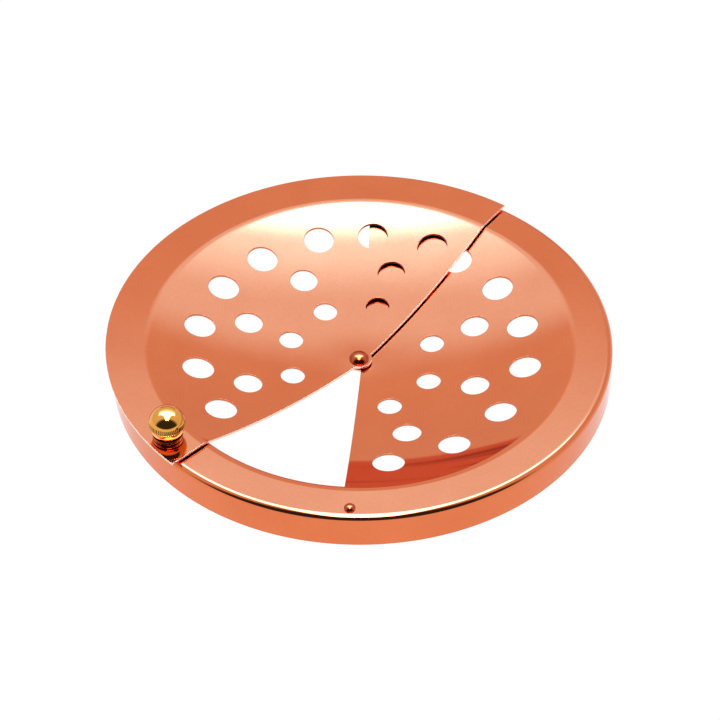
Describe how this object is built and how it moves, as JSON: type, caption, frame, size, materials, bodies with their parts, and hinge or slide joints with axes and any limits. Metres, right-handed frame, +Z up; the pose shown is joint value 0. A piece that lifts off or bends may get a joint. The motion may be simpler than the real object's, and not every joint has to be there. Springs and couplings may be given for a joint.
{
  "type": "strainer lid",
  "caption": "Round perforated strainer lid: a dished plate with a turned-down rim, half cut away, and a swivelling half cover with a small knob that opens or closes the drain opening.",
  "frame": {"origin": "on the rim's axis, in the plane that the skirt's edge stands on", "axes": "+Z up along the rim's axis, which passes 1.1 mm from the pivot; -Y towards the stop pin and the front of the open sector, +X across the perforated half of the base"},
  "size_m": [0.1717, 0.1702, 0.0255],
  "materials": {
    "base_copper": "polished",
    "cover_copper": "polished",
    "pin_copper": "polished",
    "washer_copper": "polished",
    "knob_brass": "polished",
    "screw_brass": "satin"
  },
  "bodies": {
    "base": {"base_lid": "base_copper", "stop_pin": "pin_copper", "spacer_washer": "washer_copper", "rivet_washer": "washer_copper", "pivot_rivet": "pin_copper"},
    "cover": {"rotating_cover": "cover_copper", "knob": "knob_brass", "knob_screw": "screw_brass"}
  },
  "joints": [
    {"name": "cover_pivot", "type": "hinge", "parent": "base", "child": "cover", "pos_m": [-0.001, -0.0005, 0.0032], "axis": [0, 0, 1], "range_deg": [-143.3, 41.2]}
  ]
}
